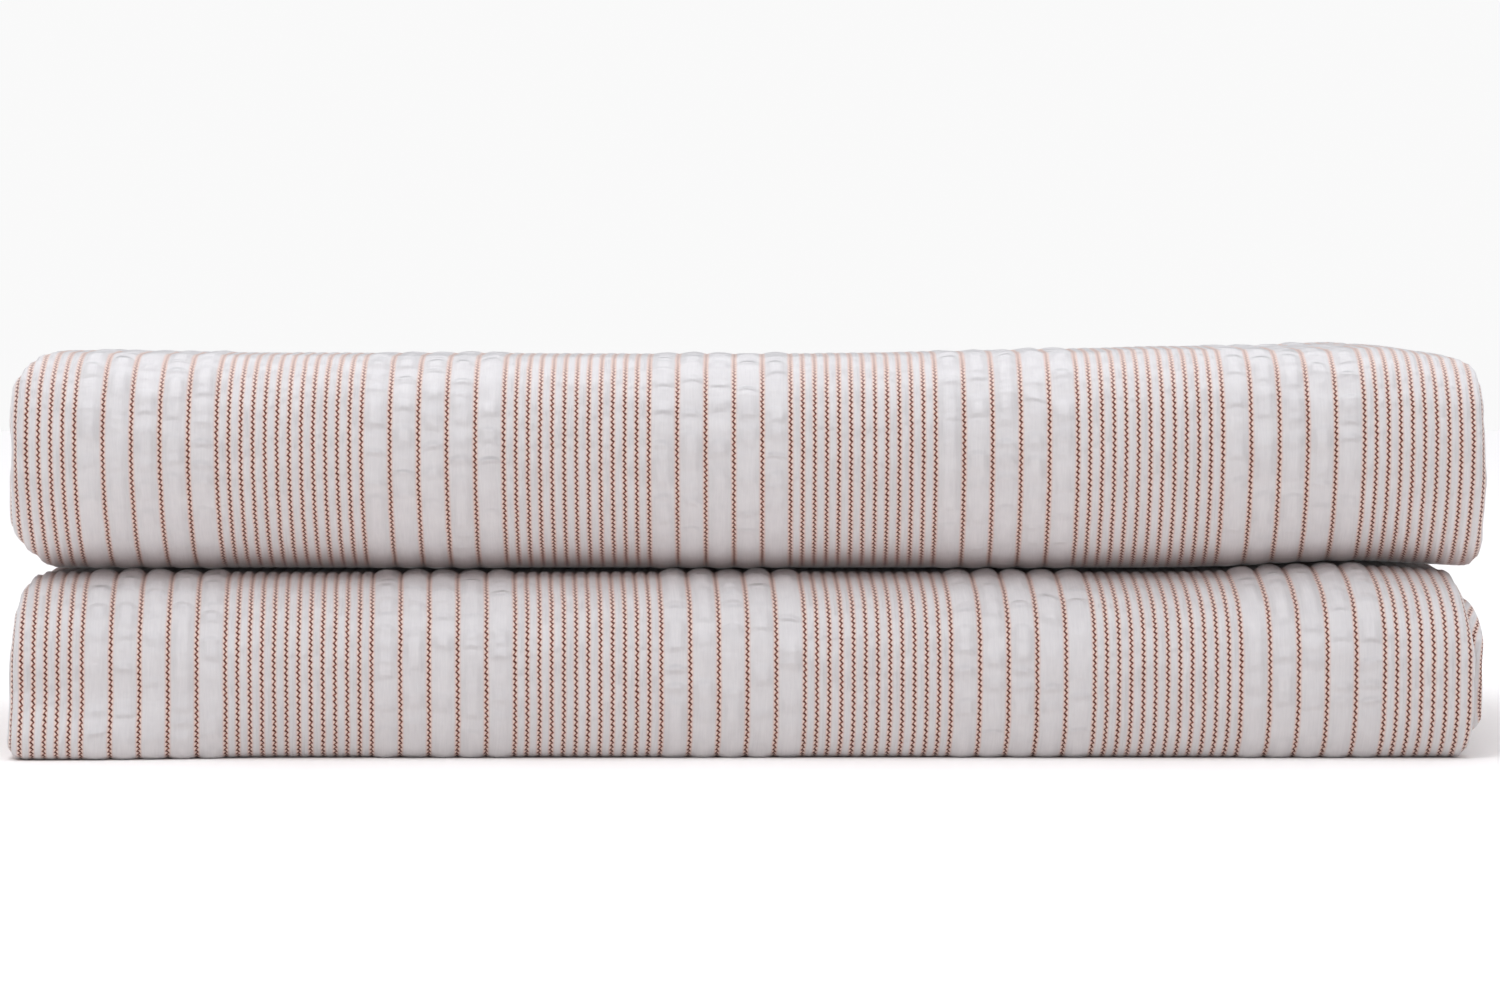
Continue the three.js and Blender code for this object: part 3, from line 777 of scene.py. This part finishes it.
def woven_cotton(channels, colours):
    """Bleached cotton, double woven on a loom so that two cloths part into channels between the
    pinstripes: matt and a little fuzzy, with fine upright yarns and puckers. Each pinstripe is a dark
    zigzag thread between pink yarns, with pale specks in its hollows. A painted highlight pales the
    threads towards the tops of the noses, and painted shade browns the cloth in the crevice and inside
    the pile."""
    material = bpy.data.materials.new("woven_cotton")
    material.use_nodes = True
    tree = material.node_tree
    tree.nodes.clear()

    cloth = add_node(tree, "ShaderNodeUVMap", uv_map="cloth")
    in_mm = add_node(tree, "ShaderNodeVectorMath", {0: cloth, 3: 1 / MM}, operation="SCALE")
    apart = add_node(tree, "ShaderNodeSeparateXYZ", {0: in_mm})
    across, along = apart.outputs[0], apart.outputs[1]
    off, channel_begins = from_pinstripe(tree, channels, in_mm, across)
    distance = add_node(tree, MATH, {0: off}, operation="ABSOLUTE")

    # The zigzag: its turns are ZIGZAG apart on one side, and it swings by SWAY to either side. The stroke
    # one way is bold and dark, and the one back is thinner and lighter.
    uneven_at = add_node(tree, "ShaderNodeMapping", {"Vector": in_mm, "Scale": UNEVEN_SCALE})
    uneven = add_node(tree, NOISE, {"Vector": uneven_at, "Scale": 1.0, "Detail": 1.0})
    shifted = add_node(tree, MATH, {0: uneven, 1: UNEVEN, 2: along}, operation="MULTIPLY_ADD")
    swing = add_node(tree, MATH, {0: shifted, 1: ZIGZAG / 2}, operation="PINGPONG")
    side = add_node(tree, RANGE, {0: swing, 2: ZIGZAG / 2, 3: -SWAY, 4: SWAY})
    phase = add_node(tree, MATH, {0: shifted, 1: ZIGZAG}, operation="FLOORED_MODULO")
    back = add_node(tree, MATH, {0: phase, 1: ZIGZAG / 2}, operation="GREATER_THAN")
    from_thread = add_node(tree, MATH, {0: off, 1: side}, operation="SUBTRACT")
    from_thread = add_node(tree, MATH, {0: from_thread}, operation="ABSOLUTE")
    half_thread = add_node(tree, RANGE, {0: back, 3: BOLD_STROKE, 4: BACK_STROKE})
    core = add_node(tree, MATH, {0: half_thread, 1: THREAD_CORE}, operation="MULTIPLY")
    thread = fade(tree, from_thread, half_thread, core)
    hollow = add_node(tree, MATH, {
        0: fade(tree, from_thread, *SPECK_FADE), 1: fade(tree, distance, *HOLLOW_FADE)},
        operation="MULTIPLY")
    fringe = fade(tree, distance, *FRINGE_FADE)

    # The ground: long uneven yarns and faint cloudiness
    yarn_at = add_node(tree, "ShaderNodeMapping", {"Vector": in_mm, "Scale": YARN_SCALE})
    yarns = add_node(tree, NOISE, {"Vector": yarn_at, "Scale": 1.0, "Detail": 2.0})
    clouds = add_node(tree, NOISE, {"Vector": in_mm, "Scale": CLOUD_SCALE, "Detail": 3.0})
    shade = add_node(tree, MATH, {0: yarns, 1: clouds}, operation="ADD")
    shade = add_node(tree, RANGE, {0: shade, 1: SHADE_RANGE[0], 2: SHADE_RANGE[1]})
    ground = blend(tree, shade, colours.shaded_cotton, colours.cotton)
    fringed = add_node(tree, MATH, {0: fringe, 1: FRINGE_SHARE}, operation="MULTIPLY")
    coloured = blend(tree, fringed, ground, colours.fringe)
    coloured = blend(tree, hollow, coloured, colours.speck)
    thread_colour = blend(tree, back, colours.thread, colours.back_thread)
    # Painted highlight: the threads are paled where the light falls strongest, towards the tops of the
    # noses
    bleached = add_node(tree, "ShaderNodeAttribute", attribute_name="bleached").outputs["Fac"]
    left = add_node(tree, RANGE, {0: bleached, 3: 1.0, 4: THREAD_UNDER_HIGHLIGHT})
    shown = add_node(tree, MATH, {0: thread, 1: left}, operation="MULTIPLY")
    coloured = blend(tree, shown, coloured, thread_colour)
    # Painted shade: the cloth is browned deep in the crevice and inside the pile
    tinged = add_node(tree, "ShaderNodeAttribute", attribute_name="tinged").outputs["Fac"]
    tinged = add_node(tree, MATH, {0: tinged, 1: PAINTED_SHADE_SHARE}, operation="MULTIPLY")
    coloured = blend(tree, tinged, coloured, colours.painted_shade_colour)

    # Relief in millimetres: yarns, the raised thread, and where the cloth is puckered small tucks that
    # stand up across a channel and end at its pinstripes, with finer wrinkles between them
    puckered = add_node(tree, "ShaderNodeAttribute", attribute_name="pucker").outputs["Fac"]
    slant = add_node(tree, MATH, {0: across, 1: TUCK_SLANT, 2: channel_begins}, operation="MULTIPLY_ADD")
    bow = fade(tree, distance, *BOW_FADE)
    bowed = add_node(tree, MATH, {0: bow, 1: TUCK_BOW, 2: along}, operation="MULTIPLY_ADD")
    tuck_at = add_node(tree, "ShaderNodeCombineXYZ", {0: slant, 1: bowed})
    tuck_at = add_node(tree, "ShaderNodeMapping", {"Vector": tuck_at, "Scale": TUCK_SCALE})
    tucks = add_node(tree, NOISE, {"Vector": tuck_at, "Scale": 1.0, "Detail": 1.0})
    tucks = add_node(tree, MATH, {0: tucks, 1: 0.5}, operation="SUBTRACT")
    tucks = add_node(tree, MATH, {0: tucks}, operation="ABSOLUTE")
    tucks = fade(tree, tucks, TUCK_WIDTH, 0.0)
    wrinkle_at = add_node(tree, "ShaderNodeMapping", {"Vector": in_mm, "Scale": WRINKLE_SCALE})
    wrinkles = add_node(tree, NOISE, {"Vector": wrinkle_at, "Scale": 1.0, "Detail": 2.0})
    raised = add_node(tree, MATH, {0: tucks, 1: TUCK_HEIGHT}, operation="MULTIPLY")
    raised = add_node(tree, MATH, {0: wrinkles, 1: WRINKLE_HEIGHT, 2: raised}, operation="MULTIPLY_ADD")
    between = fade(tree, distance, *BETWEEN_FADE)
    raised = add_node(tree, MATH, {0: raised, 1: between}, operation="MULTIPLY")
    relief = add_node(tree, MATH, {0: raised, 1: puckered}, operation="MULTIPLY")
    relief = add_node(tree, MATH, {0: clouds, 1: CLOUD_HEIGHT, 2: relief}, operation="MULTIPLY_ADD")
    relief = add_node(tree, MATH, {0: yarns, 1: YARN_HEIGHT, 2: relief}, operation="MULTIPLY_ADD")
    relief = add_node(tree, MATH, {0: thread, 1: THREAD_HEIGHT, 2: relief}, operation="MULTIPLY_ADD")
    bump = add_node(tree, "ShaderNodeBump", {"Height": relief, "Distance": MM})

    cotton = add_node(tree, "ShaderNodeBsdfPrincipled", {
        "Base Color": coloured, "Normal": bump, "Roughness": 0.95, "Specular IOR Level": 0.2,
        "Sheen Weight": 0.6, "Sheen Roughness": 0.4,
    })
    add_node(tree, "ShaderNodeOutputMaterial", {"Surface": cotton})
    return material


def plain(name, colour, roughness):
    material = bpy.data.materials.new(name)
    material.use_nodes = True
    shader = material.node_tree.nodes["Principled BSDF"]
    shader.inputs["Base Color"].default_value = (*colour, 1)
    shader.inputs["Roughness"].default_value = roughness
    return material


class BEDSPREAD_OT_fold(bpy.types.Operator):
    """Make the folded bedspread: one sheet of cloth with its channels, puckers and hems"""

    bl_idname = "bedspread.fold"
    bl_label = "Fold the bedspread"

    def execute(self, context):
        scene = context.scene
        channels = Channels(scene.bedspread_channels)
        sheet = Sheet(Pile(scene.bedspread_pile), channels)
        length = sheet.fold() * MM
        piece = bpy.data.objects.new("folded_bedspread", sheet.mesh("folded_bedspread"))
        scene.collection.objects.link(piece)
        piece.data.materials.append(woven_cotton(channels, scene.bedspread_colours))
        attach(piece, "root")
        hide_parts(NODE)
        return {"FINISHED"}


class BEDSPREAD_OT_studio(bpy.types.Operator):
    """Make the stage: a plain pale floor, soft lights and the camera"""

    bl_idname = "bedspread.studio"
    bl_label = "Set up the studio"

    def execute(self, context):
        scene = context.scene
        studio = scene.bedspread_studio
        bpy.ops.object.select_all(action="DESELECT")
        bpy.ops.mesh.primitive_plane_add(size=FLOOR_SIZE, location=(0, 0, 0))
        floor = context.active_object
        floor.name = "floor"
        floor.data.materials.append(plain("matt_floor", studio.floor, 0.9))

        world = bpy.data.worlds.new("room")
        world.use_nodes = True
        scene.world = world
        tree = world.node_tree
        tree.nodes.clear()
        towards = add_node(tree, "ShaderNodeTexCoord").outputs["Generated"]
        height = add_node(tree, "ShaderNodeSeparateXYZ", {0: towards}).outputs[2]
        overhead = add_node(tree, MATH, {0: height, 1: 3.0}, operation="POWER")
        room = add_node(tree, RANGE, {0: overhead, 3: studio.wall, 4: studio.ceiling})
        low = fade(tree, height, BACKDROP_TOP, BACKDROP_TOP / 2)
        strength = add_node(tree, "ShaderNodeMix", {0: low, 2: room, 3: studio.backdrop})
        colour = blend(tree, low, ROOM_COLOUR, BACKDROP_COLOUR)
        sky = add_node(tree, "ShaderNodeBackground", {"Color": colour, "Strength": strength})
        add_node(tree, "ShaderNodeOutputWorld", {"Surface": sky})

        for light in LIGHTS:
            direction = Vector(light["aim"]) - Vector(light["place"])
            bpy.ops.object.light_add(type="AREA", location=light["place"],
                                     rotation=direction.to_track_quat("-Z", "Y").to_euler())
            lamp = context.active_object
            lamp.name = light["name"]
            lamp.data.shape = "RECTANGLE"
            lamp.data.size, lamp.data.size_y = light["size"]
            lamp.data.energy = getattr(studio, light["name"])
            lamp.data.color = LIGHT_COLOUR

        bpy.ops.object.camera_add(
            location=(studio.camera_across, -studio.camera_distance, studio.camera_height),
            rotation=(math.pi / 2 - studio.camera_pitch, 0, 0))
        camera = context.active_object
        camera.data.lens = studio.lens
        camera.data.sensor_width = SENSOR_WIDTH
        camera.data.clip_end = FLOOR_SIZE
        scene.camera = camera
        scene.view_settings.view_transform = "Standard"
        return {"FINISHED"}


class BEDSPREAD_PT_sidebar(bpy.types.Panel):
    """Lists the bedspread's operators and sizes"""

    bl_label = "Folded bedspread"
    bl_space_type = "VIEW_3D"
    bl_region_type = "UI"
    bl_category = "Bedspread"

    def draw(self, context):
        scene = context.scene
        for operator in (BEDSPREAD_OT_fold, BEDSPREAD_OT_studio):
            self.layout.operator(operator.bl_idname)
        for group in (scene.bedspread_pile, scene.bedspread_channels, scene.bedspread_colours,
                      scene.bedspread_studio):
            box = self.layout.box()
            for name in group.__annotations__:
                box.prop(group, name)


SETTINGS = {
    "bedspread_pile": PileSizes,
    "bedspread_channels": ChannelSizes,
    "bedspread_colours": ClothColours,
    "bedspread_studio": Studio,
}
CLASSES = (*SETTINGS.values(), BEDSPREAD_OT_fold, BEDSPREAD_OT_studio, BEDSPREAD_PT_sidebar)


def register():
    for made in CLASSES:
        bpy.utils.register_class(made)
    for name, group in SETTINGS.items():
        setattr(bpy.types.Scene, name, bpy.props.PointerProperty(type=group))


def unregister():
    for name in SETTINGS:
        delattr(bpy.types.Scene, name)
    for made in reversed(CLASSES):
        bpy.utils.unregister_class(made)


def main():
    register()
    bpy.ops.bedspread.fold()
    bpy.ops.bedspread.studio()


if __name__ == "__main__":
    main()
